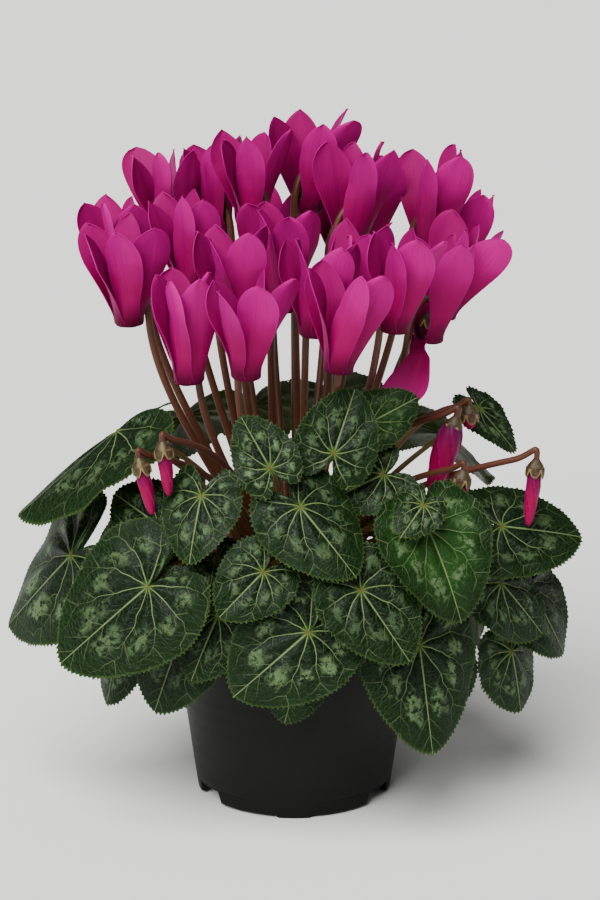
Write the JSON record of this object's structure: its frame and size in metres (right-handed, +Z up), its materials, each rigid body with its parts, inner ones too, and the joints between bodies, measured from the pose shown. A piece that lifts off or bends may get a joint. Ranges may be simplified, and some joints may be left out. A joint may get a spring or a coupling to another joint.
{
  "type": "potted cyclamen",
  "caption": "Cyclamen in a tapered nursery pot: magenta blooms with swept-back twisted petals and hanging buds on hooked stems over a mound of marbled, toothed heart-shaped leaves.",
  "frame": {"origin": "where the pot's axis meets the surface that the pot stands on", "axes": "+Z up along the pot's axis, the plant's tallest way; -Y is the front of the plant as pictured; +X to its right"},
  "size_m": [0.2863, 0.2239, 0.3387],
  "materials": {
    "pot_plastic": "matte injection-moulded polypropylene, near black, faint scuffs",
    "potting_soil": "dark crumbly peat-based potting soil",
    "flower_stem": "smooth reddish-brown fleshy stem, satin; corky brown tuber",
    "petal": "satin magenta petal, darker at the mouth, faint lengthwise streaks",
    "bud_petal": "satin magenta petals rolled in a spindle",
    "leaf": "satin blue-green leaf with silver marbling, pale veins and a pale toothed edge"
  },
  "bodies": {
    "root": {"pot": "pot_plastic", "soil": "potting_soil", "tuber_and_flower_stems": "flower_stem", "bloom_01": "petal", "bloom_02": "petal", "bloom_03": "petal", "bloom_04": "petal", "bloom_05": "petal", "bloom_06": "petal", "bloom_07": "petal", "bloom_08": "petal", "bloom_09": "petal", "bloom_10": "petal", "bloom_11": "petal", "bloom_12": "petal", "bloom_13": "petal", "bloom_14": "petal", "bloom_15": "petal", "bloom_16": "petal", "bloom_17": "petal", "bloom_18": "petal", "bloom_19": "petal", "bloom_20": "petal", "bloom_21": "petal", "bloom_22": "petal", "bloom_23": "petal", "bud_01": "bud_petal", "bud_02": "bud_petal", "bud_03": "bud_petal", "bud_04": "bud_petal", "bud_05": "bud_petal", "bud_06": "bud_petal", "leaves_01": "leaf", "leaves_02": "leaf", "leaves_03": "leaf", "leaves_04": "leaf", "leaves_05": "leaf", "leaves_06": "leaf", "leaves_07": "leaf", "leaves_08": "leaf", "leaves_09": "leaf", "leaves_10": "leaf", "leaves_11": "leaf", "leaves_12": "leaf", "leaves_13": "leaf", "leaves_14": "leaf", "leaves_15": "leaf", "leaves_16": "leaf", "leaves_17": "leaf", "leaves_18": "leaf", "leaves_19": "leaf", "leaves_20": "leaf", "leaves_21": "leaf", "leaves_22": "leaf", "leaves_23": "leaf", "leaves_24": "leaf"}
  },
  "joints": []
}
